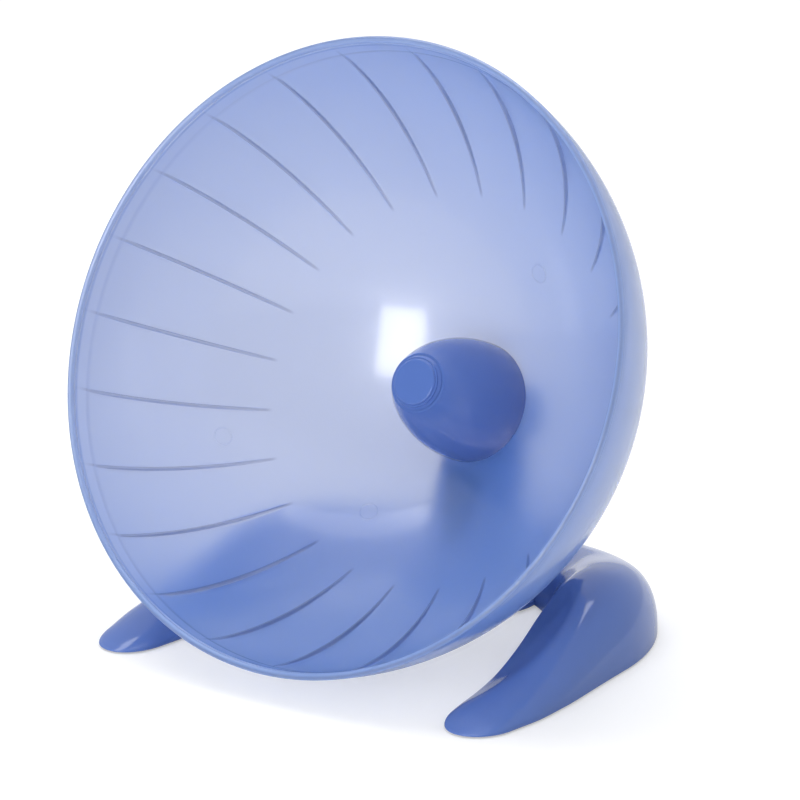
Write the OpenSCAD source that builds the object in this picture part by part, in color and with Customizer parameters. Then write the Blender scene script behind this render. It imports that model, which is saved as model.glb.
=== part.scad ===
// Exercise wheel for a small rodent: a deep leaning bowl that spins on one steel axle,
// carried by a hollow horseshoe stand with a post behind the bowl.
// Millimetres. Z is up, the floor is z = 0, the bowl opens towards -Y, X runs left to right.

/* [Bowl] */
// Outside diameter of the bowl at its rim
wheel_d = 250; // [210:1:300]
// Lean of the axle from the level
tilt = 22.4; // [16:0.2:28]
// Height of the bowl's lowest point over the floor
ground_gap = 5.3; // [4:0.1:10]
// Wall thickness of the bowl
bowl_wall = 2.2; // [1.6:0.1:3]
// How far the ball that the bowl follows is centred in front of the rim
ball_front = 9.2; // [6:0.2:14]
// Depth that the flat centre cuts off the ball
flat_cut = 5; // [3:0.5:8]
// Radius of the round lip
lip_r = 1.3; // [1.1:0.1:1.6]
// Width of the thickened band behind the lip
band_w = 9; // [6:0.5:12]
// Number of running rungs inside the bowl
rung_count = 24; // [16:1:32]
// Width of a rung
rung_w = 1.3; // [1:0.1:2]
// Height of a rung at its middle
rung_h = 1.6; // [1:0.1:2.4]

/* [Hub] */
// Radius of the hub at the bowl's floor
hub_r = 25.5; // [22:0.5:30]
// Length of the hub in front of the floor, without its cap
hub_len = 44; // [36:1:52]
// Radius of the curve along the hub's side
hub_curve = 79.6; // [70:0.1:100]
// Wall thickness of the hub
hub_wall = 2.2; // [1.8:0.1:3]
// Distance of the hub's screws from the axle
screw_ring = 19; // [18:0.5:20]
// Shank diameter of the hub's screws
screw_d = 2.7; // [2.2:0.1:3]
// Length of a hub screw under its head
screw_len = 14; // [10:1:18]

/* [Axle] */
// Axle diameter
axle_d = 8; // [6:0.5:9]
// Running clearance around the axle, on the radius
run_gap = 0.05; // [0.03:0.01:0.1]
// Clearance of seated pieces, on the radius
seat_gap = 0.05; // [0.02:0.01:0.1]
// Radius of the front bush's body
front_bush_r = 6.5; // [6:0.1:6.8]
// Radius of the rear bush's body
rear_bush_r = 7.5; // [7:0.1:8]
// End play of the wheel on the axle
end_play = 0.3; // [0.1:0.1:0.5]
// Length of the boss that holds the axle
boss_len = 18; // [14:1:22]
// Outside radius of that boss
boss_r = 16; // [14:0.5:18]

/* [Stand] */
// Wall thickness of the stand
stand_wall = 2.6; // [2:0.1:3.4]
// Height of the leg's crest beside the bowl
crest_h = 31.5; // [28:0.5:36]
// Space between the bowl and the hollow cut in the legs' inner sides
scoop_gap = 18.7; // [14:0.1:24]
// Smallest space between the turning bowl and the post
post_gap = 3.2; // [2.5:0.1:5]
// Radius of the post at its foot, above the flare
post_foot_r = 23; // [21:0.5:26]
// Radius of the curve along the post's side
post_curve = 390; // [330:10:600]
// Radius of the flare at the foot of the post
flare_r = 5; // [4:1:12]
// Part of a foot pad that stands out under the stand
pad_proud = 0.8; // [0.5:0.1:1.5]
// Thickness of a foot pad
pad_t = 2; // [1.6:0.1:3]
// Radius of a front foot pad
front_pad_r = 6; // [5:0.5:7]
// Radius of a rear foot pad
rear_pad_r = 6; // [5:0.5:7]

/* [Hidden] */
$fn = 96;
e = 0.01;
k = wheel_d / 250;
ball_r = sqrt(pow(wheel_d / 2 - 0.04, 2) + pow(ball_front, 2));
ball_in = ball_r - bowl_wall;
rim_z = ball_r + ground_gap - ball_front * sin(tilt);

// Places along the axle are depths behind the rim's plane.
floor_in = ball_r - ball_front - flat_cut;
floor_out = floor_in + bowl_wall;
collar_back = floor_out + 4.7;
collar_r = 13.5;
hub_front = floor_in - hub_len;
cap_face = hub_front - 3.1;
axle_front = hub_front + 4;
bush_front = axle_front + end_play;
bush_seat = bush_front + 1.7;
front_bush_back = bush_seat + 10;
rear_bush_front = floor_in - 3.1;
rear_flange_back = collar_back + 1.2;
thrust_front = rear_flange_back + 0.1;
thrust_t = 0.6;
shoulder_front = thrust_front + thrust_t;
shoulder_t = 1.3;
boss_front = shoulder_front + shoulder_t;
boss_back = boss_front + boss_len;
lock_t = 1.2;
nut_front = boss_back + lock_t;
nut_t = 5;
axle_back = nut_front + nut_t + 1;
boss_end = axle_back + 3.6;
pocket_r = 8.5;
tube_r = 9.3;
axle_r = axle_d / 2;

// The horseshoe: spine from a toe straight back, then round behind the bowl.
toe = [82, -36] * k;
round_r = 78 * k;
round_y = 57 * k;
leg_len = norm([round_r - toe[0], round_y - toe[1]]);
half_len = leg_len + round_r * PI / 2;
// Crest height, outer half width and inner half width, each against the way along the spine.
crest = [
  [0, 0], [6, 4], [13, 5.6], [26, 8.8], [41, 12], [58, 17], [70, 21], [80, 25],
  [93, crest_h - 2.7], [103, crest_h - 0.7], [116, crest_h], [135, crest_h - 2.5],
  [160, crest_h - 8], [185, crest_h - 11.5], [216, crest_h - 13]
];
outer_w = [
  [0, 13.6], [13, 14.4], [29, 18.6], [51, 20.6], [78, 21.2], [93, 21.8], [130, 22.6], [216, 23]
];
inner_w = [
  [0, 11.8], [10, 12], [26, 13.6], [56, 15.6], [81, 18.2], [93, 20], [116, 21.2], [216, 21.5]
];
nose = 15;
back_y = round_y + round_r + 23 * k;
front_y = -(wheel_d / 2 - lip_r) * sin(tilt) + lip_r * cos(tilt) - lip_r;
mid_y = (back_y + front_y) / 2;

// The post leans from its foot to the middle of the boss.
post_foot = [0, 104 * k, 0];
post_head = [
  0,
  (boss_front + boss_len / 2) * cos(tilt),
  rim_z - (boss_front + boss_len / 2) * sin(tilt)
];
post_len = norm(post_head - post_foot);
post_lean = atan2(post_head[1] - post_foot[1], post_head[2]);

// Piece to draw

// Puts the origin under the middle of the whole object.
module placed() {
  translate([0, -mid_y, 0])
    children();
}

// Puts a piece on the axle: its z = 0 at the given depth, its +Z out of the bowl's opening.
module on_axle(depth) {
  placed()
    translate([0, 0, rim_z])
      rotate([90 - tilt, 0, 0])
        translate([0, 0, -depth])
          children();
}

// A round piece from depth a to depth b behind the rim.
module rod(a, b, r) {
  translate([0, 0, -b])
    cylinder(r = r, h = b - a);
}

// A rung's outline in the plane through the axle: a sliver between two arcs.
rung_mid = 61.8;
rung_half = 19.75;
rung_sag = ball_in * (1 - cos(rung_half)) - rung_h;
rung_chord = ball_in * sin(rung_half);
rung_arc = (pow(rung_chord, 2) + pow(rung_sag, 2)) / (2 * rung_sag);
rung_off = ball_in * cos(rung_half) + rung_sag - rung_arc;

module rung_outline() {
  translate([0, ball_front])
    difference() {
      circle(r = ball_in + 0.6);
      translate(rung_off * [sin(rung_mid), -cos(rung_mid)])
        circle(r = rung_arc);
    }
}

module rungs() {
  for (i = [0 : rung_count - 1])
    rotate([0, 0, 89.3 + i * 360 / rung_count])
      rotate([90, 0, 0])
        linear_extrude(height = rung_w, center = true)
          rung_outline();
}

// Round witness mark of a moulding pin on the inner wall.
module pin_mark(r, turn) {
  lift = asin(r / ball_in);
  rotate([0, 0, turn])
    translate([0, 0, ball_front])
      rotate([0, 180 - lift, 0])
        translate([0, 0, ball_in - 0.25])
          difference() {
            cylinder(r = 4, h = 1);
            translate([0, 0, -1])
              cylinder(r = 3.5, h = 3);
          }
}

module bowl_profile() {
  // wall between two balls, cut at the rim and at the flat centre
  intersection() {
    translate([0, ball_front])
      difference() {
        circle(r = ball_r);
        circle(r = ball_in);
      }
    translate([0, -floor_out])
      square([ball_r, floor_out - lip_r]);
  }
  // thicker band behind the lip
  intersection() {
    translate([0, ball_front])
      difference() {
        circle(r = ball_in + 0.3);
        circle(r = ball_in - 0.45);
      }
    translate([0, -band_w])
      square([ball_r, band_w - lip_r]);
  }
  // round lip
  translate([wheel_d / 2 - lip_r, -lip_r])
    circle(r = lip_r);
  // flat centre and the collar behind it
  translate([0, -floor_out])
    square([sqrt(pow(ball_r, 2) - pow(floor_out + ball_front, 2)), bowl_wall]);
  translate([0, -collar_back])
    square([collar_r, collar_back - floor_out + e]);
}

module wheel_bowl() {
  color([0.62, 0.68, 0.90])
    on_axle(0)
      difference() {
        union() {
          rotate_extrude()
            bowl_profile();
          rungs();
          pin_mark(61, -118.8);
          pin_mark(61, 64.1);
          pin_mark(95.6, -158.3);
        }
        rod(floor_in - 1, collar_back + 1, rear_bush_r + seat_gap);
        for (i = [0 : 2])
          rotate([0, 0, 90 + 120 * i])
            translate([screw_ring, 0, 0])
              rod(floor_in - 1, floor_out + 1, screw_d / 2 + 0.2);
      }
}

// Solid of the hub's outline made smaller by t; y = 0 is the bowl's floor.
module hub_outline(t, len) {
  intersection() {
    translate([hub_r - hub_curve, 0])
      circle(r = hub_curve - t);
    square([hub_r, len]);
  }
}

module hub_shell() {
  difference() {
    rotate_extrude()
      hub_outline(0, hub_len);
    difference() {
      translate([0, 0, -e])
        rotate_extrude()
          hub_outline(hub_wall, floor_in - bush_seat - 2);
      // tube around the axle
      translate([0, 0, -1])
        cylinder(r = tube_r, h = hub_len);
      // three screw posts tied to the tube by ribs
      for (i = [0 : 2])
        rotate([0, 0, 90 + 120 * i]) {
          translate([screw_ring, 0, -1])
            cylinder(r = 3.4, h = hub_len);
          translate([tube_r - 1, -1, -1])
            cube([30, 2, hub_len]);
        }
    }
  }
}

module hub_cone() {
  color([0.30, 0.40, 0.68])
    on_axle(floor_in)
      difference() {
        hub_shell();
        // counterbore for the cap, the washer and the bush's flange
        translate([0, 0, floor_in - bush_seat])
          cylinder(r = 10.3, h = 30);
        translate([0, 0, floor_in - front_bush_back - 1])
          cylinder(r = front_bush_r + seat_gap, h = 40);
        translate([0, 0, -1])
          cylinder(r = front_bush_r + 0.3, h = floor_in - front_bush_back + 0.8);
        translate([0, 0, -1])
          cylinder(r = rear_bush_r + seat_gap, h = floor_in - rear_bush_front + 1.2);
        for (i = [0 : 2])
          rotate([0, 0, 90 + 120 * i])
            translate([screw_ring, 0, -1])
              cylinder(r = screw_d / 2 + seat_gap, h = screw_len);
      }
}

// Cap pushed into the front of the hub; its face is plain.
module hub_cap() {
  color([0.31, 0.41, 0.70])
    on_axle(0)
      difference() {
        union() {
          rotate_extrude() {
            translate([0, -cap_face - 0.8])
              square([8.7, 0.8]);
            translate([8.7, -cap_face - 0.8])
              circle(r = 0.8);
            polygon([
              [0, -cap_face - 0.8],
              [9.5, -cap_face - 0.8],
              [11.2, -hub_front + 0.4],
              [11.2, -hub_front + 0.2],
              [0, -hub_front + 0.2]
            ]);
          }
          rod(cap_face + 1, axle_front - 0.6, 10.3 - seat_gap);
        }
        rod(cap_face + 1.8, axle_front, 8.8);
      }
}

module hub_screws() {
  color([0.72, 0.73, 0.75])
    on_axle(0)
      for (i = [0 : 2])
        rotate([0, 0, 90 + 120 * i])
          translate([screw_ring, 0, 0])
            difference() {
              union() {
                rod(floor_out - screw_len, floor_out + e, screw_d / 2);
                rotate_extrude()
                  intersection() {
                    translate([0, -floor_out + 1.2])
                      circle(r = 3.2);
                    translate([0, -floor_out - 2])
                      square([2.8, 2]);
                  }
              }
              translate([0, 0, -floor_out - 1.6]) {
                cube([0.8, 3.4, 2], center = true);
                cube([3.4, 0.8, 2], center = true);
              }
            }
}

module bush(front, back, body_r, flange_front, flange_back, flange_r) {
  difference() {
    union() {
      rod(front, back, body_r);
      rod(flange_front, flange_back, flange_r);
    }
    rod(front - 9, back + 9, axle_r + run_gap);
  }
}

module front_bush() {
  color([0.93, 0.93, 0.90])
    on_axle(0)
      bush(bush_front, front_bush_back, front_bush_r, bush_front, bush_seat, 8);
}

module rear_bush() {
  color([0.93, 0.93, 0.90])
    on_axle(0)
      bush(rear_bush_front, rear_flange_back, rear_bush_r, collar_back, rear_flange_back, 11);
}

module end_washer() {
  color([0.75, 0.76, 0.78])
    on_axle(0)
      difference() {
        rod(axle_front - 1, axle_front, 7.4);
        rod(axle_front - 2, axle_front + 1, 1.7);
      }
}

module end_screw() {
  color([0.72, 0.73, 0.75])
    on_axle(0)
      difference() {
        union() {
          rod(axle_front - 1 - e, axle_front + 9, 1.5);
          rotate_extrude()
            intersection() {
              translate([0, -axle_front - 2])
                circle(r = 4.5);
              translate([0, -axle_front + 1])
                square([3.2, 1.9]);
            }
        }
        translate([0, 0, -axle_front + 3]) {
          cube([0.9, 4, 2], center = true);
          cube([4, 0.9, 2], center = true);
        }
      }
}

module axle() {
  color([0.70, 0.71, 0.74])
    on_axle(0)
      difference() {
        union() {
          rod(axle_front, axle_back - 0.6, axle_r);
          translate([0, 0, -axle_back])
            cylinder(r1 = axle_r - 0.6, r2 = axle_r, h = 0.6);
          // shoulder that rests on the stand's boss
          rod(shoulder_front, boss_front, 7.4);
        }
        rod(axle_front - 1, axle_front + 10, 1.5 + seat_gap);
      }
}

module thrust_washer() {
  color([0.90, 0.90, 0.88])
    on_axle(0)
      difference() {
        rod(thrust_front, shoulder_front, 8);
        rod(thrust_front - 1, shoulder_front + 1, axle_r + run_gap);
      }
}

module lock_washer() {
  color([0.66, 0.67, 0.70])
    on_axle(0)
      difference() {
        rod(boss_back, nut_front, 7.2);
        rod(boss_back - 1, nut_front + 1, axle_r + run_gap);
      }
}

module axle_nut() {
  color([0.72, 0.73, 0.75])
    on_axle(nut_front + nut_t)
      difference() {
        intersection() {
          cylinder(r = 7.5, h = nut_t, $fn = 6);
          rotate_extrude()
            polygon([
              [0, 0], [6.6, 0], [7.5, 0.6], [7.5, nut_t - 0.6], [6.6, nut_t], [0, nut_t]
            ]);
        }
        translate([0, 0, -1])
          cylinder(r = axle_r + seat_gap, h = nut_t + 2);
      }
}

module rear_plug() {
  color([0.30, 0.40, 0.68])
    on_axle(0)
      difference() {
        union() {
          rod(boss_end - 3, boss_end + 0.4, pocket_r - seat_gap);
          rotate_extrude()
            intersection() {
              translate([0, -boss_end + 38.2])
                circle(r = 40);
              translate([0, -boss_end - 2])
                square([10.5, 2]);
            }
        }
        rod(boss_end - 4, boss_end - 0.6, pocket_r - 1.5);
      }
}

// Mean of a table over a short way, so that its corners come out soft.
function soft(tab, a, w) = (
  lookup(a - w, tab) + lookup(a - w / 2, tab) + lookup(a, tab)
  + lookup(a + w / 2, tab) + lookup(a + w, tab)
) / 5;

// Middle line of the horseshoe and its outward normal, a measured from the toe.
function spine(a) = a < leg_len
  ? toe + ([round_r, round_y] - toe) * a / leg_len
  : [0, round_y] + round_r * [cos((a - leg_len) / round_r * 180 / PI),
      sin((a - leg_len) / round_r * 180 / PI)];
function normal(a) = a < leg_len
  ? [1, 0.03 * (1 - a / leg_len)]
  : [cos((a - leg_len) / round_r * 180 / PI), sin((a - leg_len) / round_r * 180 / PI)];
function nose_part(a) = sqrt(max(0, 1 - pow(1 - min(a / (nose * k), 1), 2)));

// Height under the scoop: a ball around the bowl, larger by the scoop's gap.
function scoop(p, t) =
  let (
    r = ball_r + scoop_gap * k + t,
    d = min(norm([p[0], p[1] + ball_front * cos(tilt)]), r - 1)
  )
  ball_r + ground_gap - sqrt(r * r - d * d);

// Lower of two heights with a soft corner.
function lower(a, b) = (a + b - sqrt((a - b) * (a - b) + 5)) / 2;

// One point of the leg's skin: a along the spine, v from -1 inside to 1 outside, t inwards.
function skin(a, v, t) =
  let (
    n = nose_part(a),
    w = v > 0
      ? soft(outer_w, a / k, 4) * k * n - t
      : soft(inner_w, a / k, 4) * k * n - t,
    top = min(soft(crest, a / k, 7) * k, a < nose * k ? 6.4 * k * n : 1000) - t,
    p = spine(a) + normal(a) * w * v,
    u = abs(v),
    dome = pad_proud + (top - pad_proud) * pow(max(0, 1 - pow(u, 2.3)), 1 / 2.3),
    f = min(max((dome - pad_proud) / 3, 0), 1),
    cut = min(dome, lower(dome, scoop(p, t)))
  )
  [p[0], p[1], dome * (1 - f) + max(cut, pad_proud) * f];

// Ways along the spine at which sections are taken, close together at the toe.
hollow_from = 8;
ways = concat(
  [for (a = [0.15, 0.9, 2.2, 4.2, 7, 10.5, 15, 20.5]) a * k],
  [for (i = [0 : 32]) (26.5 + i * (half_len / k - 26.5) / 32) * k]
);

// Points of one section over the crest, from the inner foot to the outer foot.
across = 14;
function arch(a, t) = [
  for (i = [0 : across]) let (p = skin(a, -cos(180 * i / across), t))
    i == 0 || i == across ? [p[0], p[1], pad_proud] : [p[0], p[1], max(p[2], pad_proud + 0.2)]
];
function mirrored(l) = [for (p = l) [-p[0], p[1], p[2]]];
function both_legs(t) = let (
  right = [for (a = ways) arch(a, t)],
  count = len(right)
) concat(right, [for (i = [count - 2 : -1 : 0]) mirrored(right[i])]);
function flipped(faces) = [for (f = faces) [f[2], f[1], f[0]]];
function quad(a, b, c, d) = [[a, b, c], [a, c, d]];

// Hollow horseshoe, open below and solid in its toes, as one closed skin.
module leg_shell() {
  outer = both_legs(0);
  inner = both_legs(stand_wall);
  n = across + 1;
  total = len(outer);
  first = hollow_from;
  last = total - 1 - hollow_from;
  points = [for (l = concat(outer, inner)) for (p = l) p];
  // number of point i of section j, outside and in the hollow
  function o(j, i) = j * n + i;
  function h(j, i) = (total + j) * n + i;
  skin_faces = [
    for (j = [0 : total - 2]) for (i = [0 : across - 1])
      each quad(o(j, i), o(j + 1, i), o(j + 1, i + 1), o(j, i + 1))
  ];
  hollow_faces = [
    for (j = [first : last - 1]) for (i = [0 : across - 1])
      each quad(h(j, i), h(j, i + 1), h(j + 1, i + 1), h(j + 1, i))
  ];
  foot_faces = [
    for (j = [first : last - 1])
      each concat(
        quad(o(j, 0), h(j, 0), h(j + 1, 0), o(j + 1, 0)),
        quad(h(j, across), o(j, across), o(j + 1, across), h(j + 1, across))
      )
  ];
  sole_faces = [
    for (j = [0 : first - 2])
      each concat(
        quad(o(j, 0), o(j, across), o(j + 1, across), o(j + 1, 0)),
        flipped(quad(
          o(total - 1 - j, 0), o(total - 1 - j, across),
          o(total - 2 - j, across), o(total - 2 - j, 0)
        ))
      )
  ];
  // last strip of each sole, which meets the hollow's end
  a = o(first - 1, 0);
  b = o(last + 1, 0);
  seam_right = [
    [a, h(first, 0), o(first, 0)],
    [a, h(first, across), h(first, 0)],
    [a, o(first, across), h(first, across)],
    [a, o(first - 1, across), o(first, across)]
  ];
  seam_left = [
    [b, o(last, 0), h(last, 0)],
    [b, h(last, 0), h(last, across)],
    [b, h(last, across), o(last, across)],
    [b, o(last, across), o(last + 1, across)]
  ];
  ends = [
    for (i = [1 : across - 1])
      each [
        [o(0, 0), o(0, i), o(0, i + 1)],
        [o(total - 1, 0), o(total - 1, i + 1), o(total - 1, i)],
        [h(first, 0), h(first, i + 1), h(first, i)],
        [h(last, 0), h(last, i), h(last, i + 1)]
      ]
  ];
  polyhedron(
    points = points,
    faces = concat(
      skin_faces, hollow_faces, foot_faces, sole_faces, seam_right, seam_left, ends
    )
  );
}

// Outline of the post against its own lean, made smaller by t.
module post_outline(t, len) {
  intersection() {
    translate([post_foot_r - post_curve, 0])
      circle(r = post_curve - t);
    translate([0, -20])
      square([post_foot_r, len + 20]);
  }
}

module post_form(t, len) {
  translate(post_foot)
    rotate([-post_lean, 0, 0])
      rotate_extrude()
        post_outline(t, len);
}

// Flare that spreads the foot of the post on the floor.
module flare() {
  translate(post_foot + [0, 0, pad_proud])
    rotate_extrude() {
      difference() {
        square([post_foot_r + flare_r, flare_r + 3]);
        translate([post_foot_r + flare_r, flare_r + 3])
          circle(r = flare_r);
      }
      square([post_foot_r + flare_r, 3]);
      translate([post_foot_r + flare_r, 0])
        intersection() {
          circle(r = 3);
          square([3, 3]);
        }
    }
}

module post() {
  difference() {
    union() {
      post_form(0, post_len - 2);
      flare();
      // boss around the axle, round at its back edge
      translate([0, 0, rim_z])
        rotate([90 - tilt, 0, 0]) {
          rotate_extrude() {
            translate([0, -boss_end])
              square([boss_r - 4, boss_end - boss_front]);
            translate([0, -boss_end + 4])
              square([boss_r, boss_end - boss_front - 4]);
            translate([boss_r - 4, -boss_end + 4])
              circle(r = 4);
          }
        }
    }
    post_form(stand_wall, post_len - boss_r - 10);
    translate(post_foot + [0, 0, pad_proud - 1])
      cylinder(r1 = post_foot_r + flare_r, r2 = post_foot_r - stand_wall - 0.4, h = flare_r + 1);
    translate([-100, -100, pad_proud - 60])
      cube([200, 400, 60]);
    // room for the turning bowl
    translate([0, -ball_front * cos(tilt), ball_r + ground_gap])
      sphere(r = ball_r + post_gap);
    translate([0, 0, rim_z])
      rotate([90 - tilt, 0, 0]) {
        // nothing of the post stands in front of the boss
        translate([0, 0, -boss_front])
          cylinder(r = 60, h = 60);
        rod(boss_front - 1, boss_end + 1, axle_r + seat_gap);
        rod(boss_back, boss_end + 9, pocket_r);
        // the plug's head lies against the boss, clear of the post
        rod(boss_end, boss_end + 30, 11);
      }
  }
}

front_pad_at = [81 * k, -20 * k];
rear_pad_at = [0, round_y]
  + (round_r + 22.2 * k - stand_wall - rear_pad_r) * [cos(42), sin(42)];

module stand() {
  color([0.30, 0.40, 0.68])
    placed()
      difference() {
        union() {
          leg_shell();
          post();
          for (s = [-1, 1])
            translate([s * rear_pad_at[0], rear_pad_at[1], pad_proud])
              cylinder(r = rear_pad_r + 1.2, h = 6);
        }
        for (s = [-1, 1]) {
          translate([s * front_pad_at[0], front_pad_at[1], -1])
            cylinder(r = front_pad_r + seat_gap, h = 1 + pad_t);
          translate([s * rear_pad_at[0], rear_pad_at[1], -1])
            cylinder(r = rear_pad_r + seat_gap, h = 1 + pad_t);
        }
      }
}

module pad(at, side, r) {
  color([0.16, 0.17, 0.19])
    placed()
      translate([side * at[0], at[1], 0])
        rotate_extrude() {
          translate([0, 0.4])
            square([r, pad_t - 0.4]);
          square([r - 0.4, 1]);
          translate([r - 0.4, 0.4])
            circle(r = 0.4);
        }
}

module left_front_pad() { pad(front_pad_at, -1, front_pad_r); }
module right_front_pad() { pad(front_pad_at, 1, front_pad_r); }
module left_rear_pad() { pad(rear_pad_at, -1, rear_pad_r); }
module right_rear_pad() { pad(rear_pad_at, 1, rear_pad_r); }

wheel_bowl();
hub_cone();
hub_cap();
hub_screws();
front_bush();
rear_bush();
end_washer();
end_screw();
axle();
thrust_washer();
stand();
lock_washer();
axle_nut();
rear_plug();
left_front_pad();
right_front_pad();
left_rear_pad();
right_rear_pad();
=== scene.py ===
# %% [markdown]
# # A rodent exercise wheel
# A deep bowl of translucent blue plastic leans back on a darker blue stand and spins on one steel axle.
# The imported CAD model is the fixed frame: every piece made here takes its place from it, in metres, with
# the floor at z = 0 and the bowl opening towards -Y.

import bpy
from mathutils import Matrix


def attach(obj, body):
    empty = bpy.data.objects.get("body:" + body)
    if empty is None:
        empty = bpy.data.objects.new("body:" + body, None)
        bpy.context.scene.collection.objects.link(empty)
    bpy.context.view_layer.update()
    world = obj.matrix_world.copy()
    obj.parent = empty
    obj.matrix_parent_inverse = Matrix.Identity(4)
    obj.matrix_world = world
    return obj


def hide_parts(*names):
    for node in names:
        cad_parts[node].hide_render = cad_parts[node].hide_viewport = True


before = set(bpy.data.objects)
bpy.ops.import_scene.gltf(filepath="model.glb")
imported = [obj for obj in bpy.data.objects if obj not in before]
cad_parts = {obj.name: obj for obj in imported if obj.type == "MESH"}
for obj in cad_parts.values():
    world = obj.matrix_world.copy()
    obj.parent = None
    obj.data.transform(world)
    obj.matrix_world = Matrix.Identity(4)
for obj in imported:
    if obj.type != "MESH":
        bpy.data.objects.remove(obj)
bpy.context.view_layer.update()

# %% [markdown]
# ## Modules
# Blender's own modules hold the scene and clean up meshes, and numpy lays out many points at once. Sizes of
# the wheel are written in millimetres, so one factor turns them into the frame's metres.

# %% Modules for mesh work
import math

import bmesh
import bpy
import numpy as np
from mathutils import Vector

MM = 0.001
print("Blender", bpy.app.version_string)

# %% [markdown]
# ## Camera
# The picture is taken from the front right and slightly above, with a long lens. A 131.5 mm lens on
# Blender's 36 mm sensor, 1.12 m from the wheel, gives the same narrow view as the product photograph:
# 33.5 degrees round from the front and 15.1 degrees above the level.

# %% Camera
CAMERA_AT = Vector((0.61972, -0.94369, 0.40018))
LOOK = Vector((-0.5325, 0.8055, -0.2602))
LENS, SENSOR = 131.535, 36  # mm

camera_data = bpy.data.cameras.new("camera")
camera_data.lens = LENS
camera_data.sensor_width = SENSOR
camera = bpy.data.objects.new("camera", camera_data)
camera.location = CAMERA_AT
camera.rotation_euler = LOOK.to_track_quat("-Z", "Y").to_euler()
bpy.context.scene.collection.objects.link(camera)
bpy.context.scene.camera = camera
print("camera at", tuple(round(x, 3) for x in camera.location))

# %% [markdown]
# ## Places along the axle
# The wheel turns about a line that leans back by 22.4 degrees. A point of the wheel is easiest to name by
# its distance from that line, its turn round it and its depth behind the rim, so one function turns those
# three into a place in the frame.

# %% Axle
TILT = math.radians(22.4)
RIM_Y, RIM_Z = -55.3818, 127.0924  # middle of the rim, mm
BALL_R, BALL_FRONT = 125.298, 9.2  # the ball that the bowl follows, with its middle in front of the rim


def on_axle(r, turn, depth):
    """Places in metres, from radius and depth behind the rim in mm and the turn from +X towards the top."""
    x, up = r * np.cos(turn), r * np.sin(turn)
    y = RIM_Y + up * math.sin(TILT) + depth * math.cos(TILT)
    z = RIM_Z + up * math.cos(TILT) - depth * math.sin(TILT)
    return np.stack(np.broadcast_arrays(x, y, z), -1) * MM


print("rim middle", on_axle(0, 0, 0).round(4))

# %% [markdown]
# ## Pieces from grids of points
# Moulded parts are smooth skins. They could be modelled by hand from a sphere and a curve, but a grid of
# points that is worked out and stitched with quads gives even faces and can be made again with other sizes.


# %% Grids of points into pieces
def closed_grid(points, poles=False):
    """Quads over a grid that closes round its second direction, and round its first if it has no poles."""
    rows, cols = points.shape[:2]
    number = np.arange(rows * cols).reshape(rows, cols)
    here = number if not poles else number[:-1]
    below = np.roll(number, -1, 0) if not poles else number[1:]
    quads = np.stack([here, below, np.roll(below, -1, 1), np.roll(here, -1, 1)], -1)
    return quads.reshape(-1, 4).tolist()


def make_piece(name, points, faces, body="frame"):
    """A mesh object from points in metres, with its faces turned outwards, riding on a body."""
    mesh = bpy.data.meshes.new(name)
    mesh.from_pydata([tuple(p) for p in points.reshape(-1, 3)], [], faces)
    work = bmesh.new()
    work.from_mesh(mesh)
    bmesh.ops.remove_doubles(work, verts=work.verts, dist=1e-7)
    bmesh.ops.recalc_face_normals(work, faces=work.faces)
    work.to_mesh(mesh)
    work.free()
    piece = bpy.data.objects.new(name, mesh)
    bpy.context.scene.collection.objects.link(piece)
    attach(piece, body)
    return piece


print("quads of a closed 3 by 4 grid:", len(closed_grid(np.zeros((3, 4, 3)))))

# %% [markdown]
# ## The bowl's wall
# The real bowl is one injection moulding: a wall 2.2 mm thick that follows a ball, a round lip, a thicker
# band behind it, and 24 thin rungs that give the running animal a grip. It could be a sphere with a
# Solidify modifier, but the rungs have to grow out of the wall. So the wall is drawn as a closed profile,
# from the inner wall over the lip and down the outer wall to the collar and the bore, and is turned round
# the axle.


# %% Arcs and balls
def arc(centre, radius, start, stop, count):
    """Points of a circle in the profile's plane; angles in degrees, 0 outwards and 90 to the back."""
    angles = np.radians(np.linspace(start, stop, count))
    return [(centre[0] + radius * math.cos(a), centre[1] + radius * math.sin(a)) for a in angles]


def ball_point(radius, angle):
    """(radius, depth) on a ball round the bowl's centre, at an angle from the axle in radians."""
    return radius * math.sin(angle), radius * math.cos(angle) - BALL_FRONT


def ball_run(radius, from_depth, to_depth, count):
    """Points along a ball's wall from one depth to another."""
    start, stop = (math.acos((depth + BALL_FRONT) / radius) for depth in (from_depth, to_depth))
    return [ball_point(radius, angle) for angle in np.linspace(start, stop, count)]


print("back of the ball behind the rim, mm:", round(ball_point(BALL_R, 0)[1], 1))

# %% Wall profile of the bowl
WALL = 2.2
BALL_IN = BALL_R - WALL
LIP_R, RIM_R = 1.3, 125.0
FLOOR_IN = BALL_R - BALL_FRONT - 5  # the flat middle lies 5 mm in front of the ball's back
FLOOR_OUT = FLOOR_IN + WALL
COLLAR_BACK, COLLAR_R, BORE_R = FLOOR_OUT + 4.7, 13.5, 7.55
COLLAR_FOOT, COLLAR_EDGE, BORE_EDGE = 1, 0.6, 0.4  # radii of the collar's roundings
BAND_W, BAND_T = 9.0, 0.45

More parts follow.
